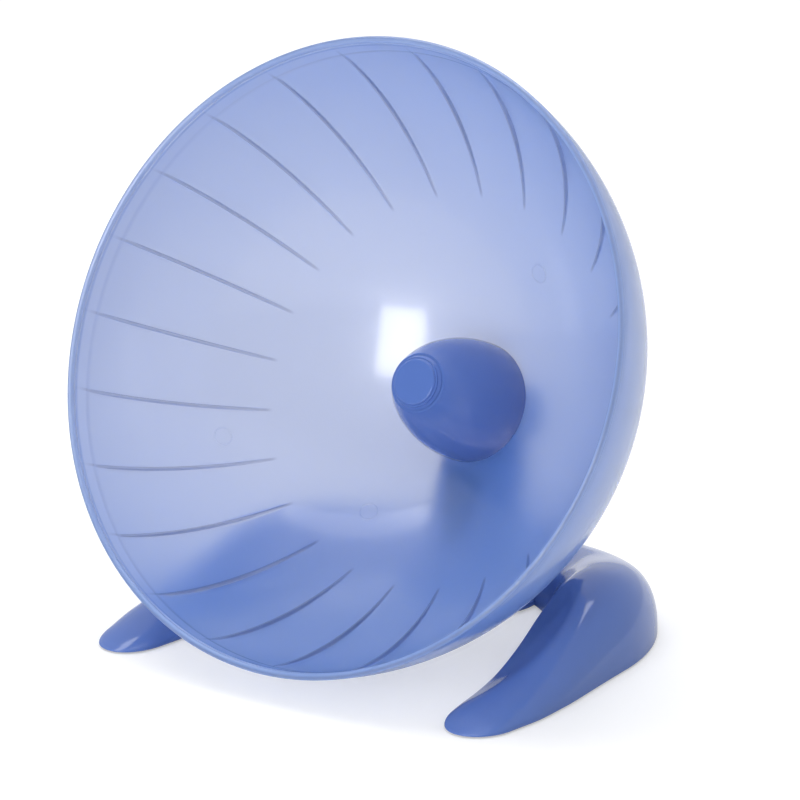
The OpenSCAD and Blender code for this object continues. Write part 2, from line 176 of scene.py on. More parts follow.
inner_wall = ball_run(BALL_IN, FLOOR_IN, BAND_W + 0.9, 86)
band = ball_run(BALL_IN - BAND_T, BAND_W, 2.4, 7)
lip = arc((RIM_R - LIP_R, LIP_R), LIP_R, -215, 50, 17)
outer_wall = ball_run(BALL_R, 3.4, FLOOR_OUT, 66)
collar = (
    [(22, FLOOR_OUT), (17, FLOOR_OUT)]
    + arc((COLLAR_R + COLLAR_FOOT, FLOOR_OUT + COLLAR_FOOT), -COLLAR_FOOT, 90, 0, 5)
    + arc((COLLAR_R - COLLAR_EDGE, COLLAR_BACK - COLLAR_EDGE), COLLAR_EDGE, 0, 90, 5)
    + [(10, COLLAR_BACK)]
    + arc((BORE_R + BORE_EDGE, COLLAR_BACK - BORE_EDGE), BORE_EDGE, 90, 180, 4)
)
bore = [(BORE_R, FLOOR_IN + 3), (BORE_R, FLOOR_IN), (13, FLOOR_IN), (19, FLOOR_IN)]
wall_profile = np.array(inner_wall + band + lip + outer_wall + collar + bore)
print("points in the wall profile:", len(wall_profile))

# %% [markdown]
# ## The rungs
# A rung is a thin rounded bar on the inner wall, tallest in its middle, that runs out into the wall at both
# ends. It could be a separate bar welded on, but a moulding has no seam there. So the columns of the turned
# wall lie closer together at each rung, and the inner points in them are lifted by the rung's own profile:
# the sliver between the wall's arc and a flatter arc.

# %% Form of one rung
RUNGS, RUNG_H = 24, 1.6
RUNG_MID, RUNG_HALF = math.radians(61.8), math.radians(19.75)  # middle and half length, as the ball's angles
RUNG_TURN = math.radians(89.3)
rung_sag = BALL_IN * (1 - math.cos(RUNG_HALF)) - RUNG_H
rung_arc = ((BALL_IN * math.sin(RUNG_HALF)) ** 2 + rung_sag**2) / (2 * rung_sag)
rung_off = BALL_IN * math.cos(RUNG_HALF) + rung_sag - rung_arc

ACROSS_RUNG = {0: 1, 0.32: 0.96, 0.5: 0.78, 0.62: 0.4, 0.74: 0.1, 0.95: 0}  # mm aside: share of its height
BESIDE_RUNG, HALFWAY = (2.4, 5.6, 9.2, 12.8), 16.36  # mm; plain columns, and the one between two rungs
columns = [(s * d, h) for d, h in ACROSS_RUNG.items() for s in (-1, 1) if (d, s) != (0, -1)]
columns += [(s * d, 0) for d in BESIDE_RUNG for s in (-1, 1)] + [(HALFWAY, 0)]
columns.sort()
offset, rung_shape = np.array(columns).T


def rung_height(angle):
    """Height of a rung's top over the wall at an angle from the axle: a sliver between two arcs."""
    away = angle - RUNG_MID
    reach = rung_off * np.cos(away) + np.sqrt(rung_arc**2 - (rung_off * np.sin(away)) ** 2)
    return np.clip(BALL_IN - reach, 0, None)


print("columns for one rung:", len(columns))

# %% The bowl
RUNG_FOOT, NARROWEST = 1, 60  # mm; columns this close to a rung keep their width, down to this radius

radius, depth = wall_profile[:, 0], wall_profile[:, 1]
narrow = (RIM_R / np.maximum(radius, NARROWEST))[:, None]
spread = np.where(np.abs(offset) < RUNG_FOOT, offset * narrow, offset)
turns = np.concatenate([
    RUNG_TURN + i * 2 * math.pi / RUNGS + spread / RIM_R for i in range(RUNGS)
], axis=1)
on_inner = np.arange(len(wall_profile)) < len(inner_wall)
from_axle = np.arctan2(radius, depth + BALL_FRONT)
height = np.where(on_inner, rung_height(from_axle), 0)[:, None] * np.tile(rung_shape, RUNGS)[None, :]
lifted_r = radius[:, None] - height * np.sin(from_axle)[:, None]
lifted_depth = depth[:, None] - height * np.cos(from_axle)[:, None]
bowl_points = on_axle(lifted_r, turns, lifted_depth)
bowl = make_piece("bowl", bowl_points, closed_grid(bowl_points), "wheel")
print("rung columns:", turns.shape[1], "tallest rung mm:", height.max().round(2))

# %% [markdown]
# ## Joining and cutting
# Bores, pockets and welded parts come from closed pieces that a Boolean modifier joins or cuts away, which
# is how a designer would work too. The manifold solver is the quickest and keeps closed pieces closed. Real
# edges have to stay sharp under smooth shading, so creases over 35 degrees are marked.

# %% Boolean helpers
CREASE = math.radians(35)


def combine(piece, other, operation):
    """Joins another closed piece to this one or cuts it away, and removes the other."""
    modifier = piece.modifiers.new(operation.lower(), "BOOLEAN")
    modifier.operation = operation
    modifier.solver = "MANIFOLD"
    modifier.object = other
    bpy.context.view_layer.update()
    evaluated = piece.evaluated_get(bpy.context.evaluated_depsgraph_get())
    done = bpy.data.meshes.new_from_object(evaluated)
    piece.modifiers.clear()
    piece.data = done
    bpy.data.objects.remove(other)


def cut_away(piece, *cutters):
    for cutter in cutters:
        combine(piece, cutter, "DIFFERENCE")


def weld_on(piece, *others):
    for other in others:
        combine(piece, other, "UNION")


def smooth_shaded(piece):
    """Smooth shading with real edges kept sharp."""
    piece.data.shade_smooth()
    piece.data.set_sharp_from_angle(angle=CREASE)
    print(piece.name, "faces:", len(piece.data.polygons))


print("sharp over degrees:", round(math.degrees(CREASE)))

# %% [markdown]
# ## Pin marks
# Where an ejector pin pushed the hot bowl out of its mould, a fine ring stays on the wall. A bump map could
# draw it, but a thin ring that is half sunk in the wall catches the light as the real one does.

# %% Marks of the moulding pins
MARK_R, MARK_WIRE = 3.75, 0.28
MARKS = [(61, -118.8), (61, 64.1), (95.6, -158.3)]  # mm from the axle, degrees round it


def full_turn(steps):
    """Angles of a closed round."""
    return np.linspace(0, 2 * math.pi, steps, endpoint=False)


def pin_mark(r, turn_deg):
    """A thin ring on the inner wall, half sunk, where an ejector pin touched the hot plastic."""
    mark_r, mark_depth = ball_point(BALL_IN, math.asin(r / BALL_IN))
    middle = on_axle(mark_r, math.radians(turn_deg), mark_depth)
    out = Vector(middle - on_axle(0, 0, -BALL_FRONT)).normalized()
    along = out.orthogonal().normalized()
    beside = out.cross(along)
    rows = []
    for t in full_turn(48):
        radial = along * math.cos(t) + beside * math.sin(t)
        ring = Vector(middle) + radial * MARK_R * MM
        wire = [(radial * math.cos(u) + out * math.sin(u)) * MARK_WIRE * MM for u in full_turn(10)]
        rows.append([ring + step for step in wire])
    points = np.array(rows)
    return make_piece("mark", points, closed_grid(points), "wheel")


weld_on(bowl, *[pin_mark(*mark) for mark in MARKS])
print("pin marks:", len(MARKS), "faces of the bowl:", len(bowl.data.polygons))

# %% [markdown]
# ## Turned pieces
# Nearly all that is welded on or cut away here is round: bores, seats, a boss, the post. A Screw modifier
# would turn a profile too. Working the points out keeps the choice of line open, because the profile can
# turn round the axle, round the post's leaning line or round an upright one.


# %% Turned pieces
def turned(name, profile, steps=96, place=on_axle, body="frame"):
    """A closed piece from a profile of (radius, depth) in mm; a radius of 0 at both ends makes poles."""
    profile = np.array(profile, float)
    points = place(profile[:, :1], full_turn(steps)[None, :], profile[:, 1:])
    poles = profile[0, 0] == 0 and profile[-1, 0] == 0
    return make_piece(name, points, closed_grid(points, poles), body)


def bar(a, b, r):
    """Profile of a plain round bar from depth a to depth b."""
    return [(0, a), (r, a), (r, b), (0, b)]


print("profile of a bar:", bar(0, 2, 1))

# %% [markdown]
# ## Screw holes
# Three screws come through the bowl's flat middle from behind and hold the hub's cone. Each hole is a plain
# bar cut away beside the axle and parallel to it, and it repeats every third of a turn.

# %% Screw holes in the bowl
SCREWS, SCREW_RING, SCREW_HOLE_R, FIRST_SCREW_DEG = 3, 19, 1.55, 90


def beside_axle(turn_deg):
    """Places round a line that runs beside the axle, through one of the screws."""
    def place(r, turn, depth):
        x, up = r * np.cos(turn) + SCREW_RING, r * np.sin(turn)
        return on_axle(np.hypot(x, up), np.arctan2(up, x) + math.radians(turn_deg), depth)
    return place


screw_hole = bar(FLOOR_IN - 1, FLOOR_OUT + 1, SCREW_HOLE_R)
for i in range(SCREWS):
    line = beside_axle(FIRST_SCREW_DEG + i * 360 / SCREWS)
    cut_away(bowl, turned("cutter", screw_hole, steps=24, place=line, body="wheel"))
smooth_shaded(bowl)
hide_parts("wheel_bowl")

# %% [markdown]
# ## The stand's horseshoe
# The stand is a hollow moulding too: a horseshoe that lies round the bowl with two pointed toes in front,
# and a post behind that holds the axle. A curve with a bevel would give sections of one shape all along. So
# the skin is laid out in sections along a middle line that runs from a toe straight back and round behind
# the bowl. Three smoothed tables give the crest's height and the widths to both sides.

# %% Middle line and tables of the horseshoe
TOE, ROUND_R, ROUND_Y = np.array([82.0, -36.0]), 78.0, 57.0
LEG_LEN = math.hypot(ROUND_R - TOE[0], ROUND_Y - TOE[1])
HALF_LEN = LEG_LEN + ROUND_R * math.pi / 2
CREST = [(0, 0), (6, 4), (13, 5.6), (26, 8.8), (41, 12), (58, 17), (70, 21), (80, 25), (93, 28.8),
         (103, 30.8), (116, 31.5), (135, 29), (160, 23.5), (185, 20), (216, 18.5)]
OUTER_W = [(0, 13.6), (13, 14.4), (29, 18.6), (51, 20.6), (78, 21.2), (93, 21.8), (130, 22.6), (216, 23)]
INNER_W = [(0, 11.8), (10, 12), (26, 13.6), (56, 15.6), (81, 18.2), (93, 20), (116, 21.2), (216, 21.5)]
TABLE_STEP, TABLE_MARGIN, TABLE_END = 0.5, 40, 260  # mm


def smoothed(table, spread):
    """The table as a soft curve: straight pieces averaged over a short way."""
    knots, values = zip(*table)
    way = np.arange(-TABLE_MARGIN, TABLE_END, TABLE_STEP)
    near = np.arange(-TABLE_MARGIN, TABLE_MARGIN + TABLE_STEP, TABLE_STEP)
    weight = np.exp(-0.5 * (near / spread) ** 2)
    padded = np.pad(np.interp(way, knots, values), len(near) // 2, "edge")
    soft = np.convolve(padded, weight / weight.sum(), "valid")
    return lambda a: np.interp(a, way, soft)


crest, outer_w, inner_w = smoothed(CREST, 5), smoothed(OUTER_W, 4), smoothed(INNER_W, 4)
print("way from toe to back mm:", round(HALF_LEN, 1), "crest there mm:", crest(HALF_LEN).round(1))

# %% [markdown]
# ## One section of the horseshoe
# A section is a dome over the sole, a little squarer than half an ellipse. At the toe it shrinks along a
# quarter of an ellipse. A ball round the bowl scoops out the inner side so that the wheel has room. Cutting
# that ball away with a Boolean would leave a sharp edge, so dome and ball are blended into a soft crease.

# %% Sections of the horseshoe
SHELL, SOLE = 2.6, 0.8  # wall of the moulding, and the height of its sole over the floor, on the pads
NOSE, NOSE_TOP = 15.0, 6.4  # the toe's round end: its length and its height
TOE_TURN = 0.03  # how far a section at the toe is slanted
SQUARENESS = 2.3  # 2 would make a section half an ellipse
BALL_UP, BALL_Y = BALL_R + 5.3, -BALL_FRONT * math.cos(TILT)  # the ball's middle, 5.3 mm of room under it
SCOOP_GAP, SCOOP_EDGE, SCOOP_FADE = 18.7, 5, 3  # room round the bowl, softness of the crease, fade below


def leg_section(a, across, inset):
    """Points from the inner foot (-1) over the crest to the outer foot (1), at way a from the toe, in mm."""
    turn = max(a - LEG_LEN, 0) / ROUND_R
    if a < LEG_LEN:
        middle = TOE + (np.array([ROUND_R, ROUND_Y]) - TOE) * a / LEG_LEN
        out = np.array([1, TOE_TURN * (1 - a / LEG_LEN)])
    else:
        out = np.array([math.cos(turn), math.sin(turn)])
        middle = np.array([0, ROUND_Y]) + ROUND_R * out
    nose = math.sqrt(max(0, 1 - (1 - min(a / NOSE, 1)) ** 2))
    width = np.where(across > 0, outer_w(a), inner_w(a)) * nose - inset
    top = (min(crest(a), NOSE_TOP * nose) if a < NOSE else crest(a)) - inset
    xy = middle + out * (width * across)[:, None]
    dome = SOLE + (top - SOLE) * np.clip(1 - np.abs(across) ** SQUARENESS, 0, None) ** (1 / SQUARENESS)
    ball = BALL_R + SCOOP_GAP + inset
    away = np.minimum(np.hypot(xy[:, 0], xy[:, 1] - BALL_Y), ball - 1)
    scoop = BALL_UP - np.sqrt(ball**2 - away**2)
    lower = (dome + scoop - np.sqrt((dome - scoop) ** 2 + SCOOP_EDGE)) / 2
    scooped = np.clip((dome - SOLE) / SCOOP_FADE, 0, 1)
    z = dome * (1 - scooped) + np.maximum(np.minimum(dome, lower), SOLE) * scooped
    return np.column_stack([xy, z])


halfway = leg_section(HALF_LEN / 2, np.linspace(-1, 1, 5), 0)
print("heights across a section halfway, mm:", halfway[:, 2].round(1))

# %% Both skins of the horseshoe
LEAST_H = 0.15  # mm of the skin over the sole
toe_ways = [0.1, 0.35, 0.8, 1.4, 2.2, 3.1, 4.2, 5.5, 7, 8.6, 10.4, 12.3, 14.4, 16.6, 19, 21.5]
ways = np.array(toe_ways + list(np.linspace(23.2, HALF_LEN, 124)))
across = -np.cos(np.linspace(0, math.pi, 49))


def leg_skin(inset):
    """Sections of both legs, from the right toe round the back to the left toe."""
    right = np.array([leg_section(a, across, inset) for a in ways])
    right[:, 1:-1, 2] = np.maximum(right[:, 1:-1, 2], SOLE + LEAST_H)
    right[:, [0, -1], 2] = SOLE
    left = right[:-1][::-1] * np.array([-1, 1, 1])
    return np.concatenate([right, left])


outer_skin, inner_skin = leg_skin(0), leg_skin(SHELL)
print("sections:", outer_skin.shape[0], "crest mm:", outer_skin[..., 2].max().round(1))

# %% [markdown]
# ## One closed skin
# Both skins are open below, and the toes are solid. Strips of quads close the gap between the skins along
# both edges, flat ends close the hollow behind each toe, and the sole of a toe is closed from edge to edge.
# A Solidify modifier would not leave the toes solid.

# %% Closed skin of the horseshoe
total, n = outer_skin.shape[:2]
first, last = len(toe_ways), total - 1 - len(toe_ways)  # the hollow runs between these sections
number = np.arange(total * n).reshape(total, n)
hollow = number + total * n


def strips(a, b):
    """Quads between two rows of point numbers of the same length."""
    return np.stack([a[:-1], b[:-1], b[1:], a[1:]], -1).tolist()


faces = [quad for j in range(total - 1) for quad in strips(number[j], number[j + 1])]
faces += [quad for j in range(first, last) for quad in strips(hollow[j], hollow[j + 1])]
for edge in (0, -1):
    faces += strips(number[first:last + 1, edge], hollow[first:last + 1, edge])
for end, toe in ((first, slice(0, first + 1)), (last, slice(last, total))):
    faces.append(hollow[end].tolist())
    faces += strips(number[toe, 0], number[toe, -1])
    faces.append([int(v) for v in (number[end, 0], hollow[end, 0], hollow[end, -1], number[end, -1])])
for tip in (0, -1):
    faces.append(number[tip].tolist())
to_frame = np.array([0, RIM_Y, 0])
legs_points = np.concatenate([outer_skin, inner_skin]).reshape(-1, 3) + to_frame
stand = make_piece("stand_shell", legs_points * MM, faces)
print("faces of the horseshoe:", len(faces))

# %% [markdown]
# ## The post and its boss
# The post leans from its foot inside the horseshoe up to the boss that holds the axle. It has a slightly
# barrelled side, a flare at its foot and a boss that lies along the axle. It could be laid out in sections
# like the horseshoe, but all of it is round, so three turned pieces are welded together.

# %% Lines of the post
POST_FOOT = np.array([0.0, 104.0])
POST_R, FLARE, POST_CURVE = 23.0, 5.0, 390.0
BOSS_FRONT, BOSS_BACK, BOSS_END, BOSS_R = 121.2, 139.2, 150.0, 16.0
boss_mid = (BOSS_FRONT + BOSS_BACK) / 2
head = np.array([boss_mid * math.cos(TILT), RIM_Z - boss_mid * math.sin(TILT)])
post_len = math.hypot(head[0] - POST_FOOT[1], head[1])
post_lean = math.atan2(head[0] - POST_FOOT[1], head[1])


def on_post(r, turn, up):
    """Points round the post's own leaning line, up from its foot."""
    y = POST_FOOT[1] + r * np.sin(turn) * math.cos(post_lean) + up * math.sin(post_lean)
    z = -r * np.sin(turn) * math.sin(post_lean) + up * math.cos(post_lean)
    return np.stack(np.broadcast_arrays(r * np.cos(turn), y + RIM_Y, z), -1) * MM


def upright(x, y):
    """Places round an upright line through (x, y), counted from the rim's middle."""
    return lambda r, turn, up: np.stack(np.broadcast_arrays(
        x + r * np.cos(turn), y + RIM_Y + r * np.sin(turn), up + 0 * turn), -1) * MM


def post_side(inset, low, high):
    """Profile of the post's barrelled side, closed on its own line."""
    ups = np.linspace(low, high, 24)
    r = POST_R - POST_CURVE + np.sqrt((POST_CURVE - inset) ** 2 - ups**2)
    return [(0, low)] + list(zip(r, ups)) + [(0, high)]


print("post length mm:", round(post_len, 1), "lean degrees:", round(math.degrees(post_lean), 1))

# %% Post, flare and boss
POST_FROM = -19.0  # the leaning post starts below the floor and is trimmed later
POST_SHORT = 2  # it ends this far below the axle's line, inside the boss
FOOT, BOSS_ROUND = 3.0, 4  # height of the flare's foot, and the rounding of the boss's end

flare_r = POST_R + FLARE
flare_top = SOLE + FLARE + FOOT
flare_profile = (
    [(0, SOLE), (flare_r + 2.2, SOLE), (flare_r + 3, SOLE + 0.8), (flare_r + 2.6, SOLE + 2.2)]
    + [(flare_r + 1, SOLE + FOOT)]
    + arc((flare_r, flare_top), FLARE, -90, -180, 14)
    + [(0, flare_top)]
)
boss_profile = (
    [(0, BOSS_FRONT), (BOSS_R - 0.5, BOSS_FRONT), (BOSS_R, BOSS_FRONT + 0.5)]
    + arc((BOSS_R - BOSS_ROUND, BOSS_END - BOSS_ROUND), BOSS_ROUND, 0, 90, 12)
    + [(0, BOSS_END)]
)
post = turned("post", post_side(0, POST_FROM, post_len - POST_SHORT), place=on_post)
weld_on(
    post,
    turned("flare", flare_profile, place=upright(*POST_FOOT)),
    turned("boss", boss_profile),
)
print("faces of the post:", len(post.data.polygons))

# %% [markdown]
# ## Room in the post
# A thick post would sink in as its plastic cools, so such a moulding is a shell that is open below. Cutters
# make it hollow, trim it at the sole, clear a ball of room for the turning bowl, flatten the boss in front,
# and bore it for the axle and for the nut's pocket.

# %% Room inside the post and for the axle
POST_GAP, AXLE_HOLE_R, POCKET_R = 3.2, 4.05, 8.5
CORE_FROM, CORE_ROOF = -40, 10  # the hollow starts below the floor and ends this far under the boss
BELOW, WIDE, FACE_CUT = -150, 300, 60  # blocks that reach past the whole stand and past the boss

core = post_side(SHELL, CORE_FROM, post_len - BOSS_R - CORE_ROOF)
core_flare = [(0, SOLE - 1), (flare_r, SOLE - 1), (POST_R - 3, SOLE + FLARE), (0, SOLE + FLARE)]
clear_r = BALL_R + POST_GAP
from_below = np.linspace(0, math.pi, 180)
clear_ball = [(clear_r * math.sin(a), BALL_UP - clear_r * math.cos(a)) for a in from_below]
clear_ball[0], clear_ball[-1] = (0, BALL_UP - clear_r), (0, BALL_UP + clear_r)
cut_away(
    post,
    turned("cutter", core, place=on_post),
    turned("cutter", core_flare, place=upright(*POST_FOOT)),
    turned("cutter", bar(BELOW, SOLE, WIDE), steps=24, place=upright(*POST_FOOT)),
    turned("cutter", clear_ball, steps=256, place=upright(0, BALL_Y)),
    turned("cutter", bar(BOSS_FRONT - FACE_CUT, BOSS_FRONT, FACE_CUT)),
    turned("cutter", bar(BOSS_FRONT - 1, BOSS_END + 1, AXLE_HOLE_R)),
    turned("cutter", bar(BOSS_BACK, BOSS_END + 9, POCKET_R)),
)
print("faces of the hollow post:", len(post.data.polygons))

# %% [markdown]
# ## One moulding
# Horseshoe and post come out of one mould, so they are welded into one piece. Four shallow round seats in
# the sole take the rubber pads. The toes are solid and hold theirs; behind, each seat needs a short boss
# inside the hollow.

# %% One moulding
PAD_HOLE_R, SEAT_R, SEAT_H = 6.05, 7.2, 6
FRONT_PAD_X, FRONT_PAD_Y = 81, -20.0
REAR_PAD_RING, REAR_PAD_TURN = 91.6, math.radians(42)
rear_x = REAR_PAD_RING * math.cos(REAR_PAD_TURN)
rear_y = ROUND_Y + REAR_PAD_RING * math.sin(REAR_PAD_TURN)
front_pads = [(side * FRONT_PAD_X, FRONT_PAD_Y) for side in (-1, 1)]
rear_pads = [(side * rear_x, rear_y) for side in (-1, 1)]

weld_on(stand, post)
for x, y in rear_pads:
    weld_on(stand, turned("seat", bar(SOLE, SOLE + SEAT_H, SEAT_R), steps=48, place=upright(x, y)))
for x, y in front_pads + rear_pads:
    cut_away(stand, turned("cutter", bar(-1, 2, PAD_HOLE_R), steps=48, place=upright(x, y)))
smooth_shaded(stand)
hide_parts("stand")

# %% [markdown]
# ## Shader helper
# A material is a small sum over the surface. One class wraps a socket so that such a sum can be written as
# Python, and each operator adds the Math node that it stands for. Another holds the nodes of one material,
# or of the world, and adds every other kind of node by one method. The nodes could be placed by hand in the
# shader editor, but written out they can be read from top to bottom.


# %% Wire
class Wire:
    """A socket that can be used in Python sums; each operator adds its Math node."""

    def __init__(self, finish, socket):
        self.finish, self.socket = finish, socket

    def maths(self, operation, *others):
        """A Math node with this wire in its first socket."""
        return self.finish.maths(operation, self, *others)

    def __add__(self, other):
        return self.finish.maths("ADD", self, other)

    def __radd__(self, other):
        return self.finish.maths("ADD", other, self)

    def __sub__(self, other):
        return self.finish.maths("SUBTRACT", self, other)

    def __rsub__(self, other):
        return self.finish.maths("SUBTRACT", other, self)

    def __mul__(self, other):
        return self.finish.maths("MULTIPLY", self, other)

    def __rmul__(self, other):
        return self.finish.maths("MULTIPLY", other, self)


print("operators of a wire: + - *")


# %% Stops and colours
def set_stops(color_ramp, stops):
    """Gives a ramp its grey stops, each (position, value)."""
    for i, (position, value) in enumerate(stops):
        stop = color_ramp.elements[i] if i < 2 else color_ramp.elements.new(position)
        stop.position, stop.color = position, (value, value, value, 1)


def srgb(*levels):
    """A colour as seen on screen, 0 to 255, as Blender's linear colour."""
    shares = [level / 255 for level in levels]
    return tuple(v / 12.92 if v <= 0.04 else ((v + 0.055) / 1.055) ** 2.4 for v in shares) + (1,)


print("middle grey in linear light:", round(srgb(128, 128, 128)[0], 3))


# %% Finish
class Finish:
    """The nodes of one material or of the world, with short calls for them."""

    def __init__(self, owner):
        owner.use_nodes = True
        self.owner, self.tree = owner, owner.node_tree
        self.tree.nodes.clear()

    def node(self, kind, settings=None, inputs=None, output=0):
        """Adds a node from its type, its settings and its sockets' values or links; gives one output."""
        node = self.tree.nodes.new(kind)
        for name, value in (settings or {}).items():
            if name == "stops":
                set_stops(node.color_ramp, value)
            else:
                setattr(node, name, value)
        for name, value in (inputs or {}).items():
            if isinstance(value, Wire):
                self.tree.links.new(value.socket, node.inputs[name])
            else:
                node.inputs[name].default_value = value
        return Wire(self, node.outputs[output]) if node.outputs else None

    def maths(self, operation, *terms):
        return self.node("ShaderNodeMath", {"operation": operation}, dict(enumerate(terms)))

    def ramp(self, factor, stops):
        """A number that follows stops of (position, value)."""
        return self.node("ShaderNodeValToRGB", {"stops": stops}, {"Fac": factor})

    def ramp_mm(self, length, span, stops):
        """A number that follows stops of (mm, value) along a length in mm that reaches up to span."""
        return self.ramp(length * (1 / span), [(mm / span, value) for mm, value in stops])

    def mixed(self, factor, a, b):
        """A colour between two."""
        return self.node("ShaderNodeMix", {"data_type": "RGBA"}, {0: factor, 6: a, 7: b}, 2)

    def grain(self, scale, detail):
        """Noise over the piece's own coordinates, 0 to 1."""
        place = self.node("ShaderNodeTexCoord", output="Object")
        return self.node("ShaderNodeTexNoise", inputs={"Vector": place, "Scale": scale, "Detail": detail})

    def bump(self, height, strength, distance):
        inputs = {"Height": height, "Strength": strength, "Distance": distance}
        return self.node("ShaderNodeBump", inputs=inputs)

    def principled(self, **inputs):
        """The standard surface; an underline in a name stands for a space."""
        named = {name.replace("_", " "): value for name, value in inputs.items()}
        return self.node("ShaderNodeBsdfPrincipled", inputs=named)

    def stacked(self, factor, a, b):
        """A surface between two shaders."""
        return self.node("ShaderNodeMixShader", inputs={0: factor, 1: a, 2: b})

    def ray(self, kind):
        """1 for rays of one kind and 0 for others."""
        return self.node("ShaderNodeLightPath", output=kind)

    def close(self, surface, output="ShaderNodeOutputMaterial"):
        """Joins the last shader to the output and gives the material or the world."""
        self.node(output, inputs={"Surface": surface})
        print(self.owner.name, "nodes:", len(self.tree.nodes))
        return self.owner


# %% [markdown]
# ## Where the rungs and the lip are
# The rungs are thicker plastic, so they look darker. The lip gets a painted glow at its edge, and a thin
# ring just behind it is darkened as painted shade. An image could paint these, but their places follow from
# the bowl's own form. The turn round the axle gives the rung, the distance from the axle its length, and the
# depth behind the rim the lip and the shaded ring.


# %% Masks of the bowl
def bowl_masks(f):
    """Rung, lip (painted glow), ring of painted shade behind it and fine lines on the lip: 1 there, 0
    elsewhere.
    """
    place = f.node("ShaderNodeTexCoord", output="Object")
    x, y, z = (f.node("ShaderNodeSeparateXYZ", inputs={0: place}, output=i) for i in range(3))
    back, over = y - RIM_Y * MM, z - RIM_Z * MM
    up = back * math.sin(TILT) + over * math.cos(TILT)
    depth_mm = (back * math.cos(TILT) - over * math.sin(TILT)) * (1 / MM)
    axle_mm = (x * x + up * up).maths("SQRT") * (1 / MM)

    cell = (up.maths("ARCTAN2", x) - RUNG_TURN) * (RUNGS / (2 * math.pi)) + 0.5
    aside_mm = (cell.maths("FRACT") - 0.5).maths("ABSOLUTE") * axle_mm * (2 * math.pi / RUNGS)
    thin = f.ramp(aside_mm, [(0.30, 1.0), (0.85, 0.0)])
    reach = f.ramp_mm(axle_mm, 200, [(80.4, 0.0), (82.4, 1.0), (121.2, 1.0), (122.0, 0.0)])

    behind_ball = depth_mm + BALL_FRONT
    ball_mm = (axle_mm * axle_mm + behind_ball * behind_ball).maths("SQRT")
    inside = ball_mm.maths("LESS_THAN", BALL_R - 1.0)
    # The lip: its lighter blue is a painted glow; the same mask also marks its thicker plastic and fine
    # lines.
    lip_glow = f.ramp_mm(depth_mm, 10, [(1.0, 1.0), (1.8, 0.0)])
    # Painted shade: a thin ring just behind the lip is darkened, though the wall has no recess there.
    painted_groove_shade = f.ramp_mm(depth_mm, 10, [(2.2, 0.0), (2.6, 1.0), (3.2, 1.0), (3.8, 0.0)]) * inside
    two_lines = [(122.6, 0.0), (122.85, 1.0), (123.1, 0.0), (123.95, 0.0), (124.15, 1.0), (124.4, 0.0)]
    lines = f.ramp_mm(axle_mm, 200, two_lines) * lip_glow
    return thin * reach * inside, lip_glow, painted_groove_shade, lines


print("rungs drawn by the masks:", RUNGS)

# %% [markdown]
# ## Translucent blue plastic
# The bowl's plastic holds a little pigment. From the front its own blue is lit by the studio, and the rest
# of the light goes through it, almost without colour, and is blurred on the way: the post shows only as a
# soft dark column. Subsurface scattering would do this slowly in such a thin wall. So each ray that enters
# the wall is split between a milky blue part and a rough clear part, with more milk at a slant, where the
# way through the wall is longer. A coat gives the polished skin of the mould.

# %% Colours of the bowl
MILK_BLUES = srgb(108, 161, 250), srgb(101, 154, 246)
# The lip's lighter blue is a painted glow; the darker blue serves the thick rungs and the painted shade
# behind the lip.
THROUGH_BLUE, PAINTED_LIP_GLOW, RUNG_AND_SHADE_BLUE = srgb(104, 157, 248), srgb(178, 205, 255), srgb(62, 84, 150)
CLEAR_TINT = srgb(250, 250, 252)
# The lip's share is a painted glow, and the share for the ring behind the lip is painted shade.
PAINTED_GLOW_SHARE, RUNG_SHADE, GROOVE_SHADE, LINE_SHADE = 0.5, 0.75, 0.25, 0.7  # how far each mask shifts the blue
MILK_AT_SLANT = [(0.0, 0.43), (0.45, 0.56), (1.0, 0.62)]  # the milky part, from face on to edge on
# The ring of painted shade behind the lip also counts as thick plastic here.
MILK_IN_THICK = 0.3  # how much of the clear part turns milky in a rung, the lip and the groove
LIT_THROUGH = 0.30  # the part of the milk that shows light from behind
MILK_ROUGH, CLEAR_ROUGH, PLASTIC_IOR = 0.5, 0.36, 1.46
MOULD_POLISH = {"Coat_Weight": 1.0, "Coat_Roughness": 0.11, "Coat_IOR": 1.5}
print("milk face on and edge on:", MILK_AT_SLANT[0][1], MILK_AT_SLANT[-1][1])


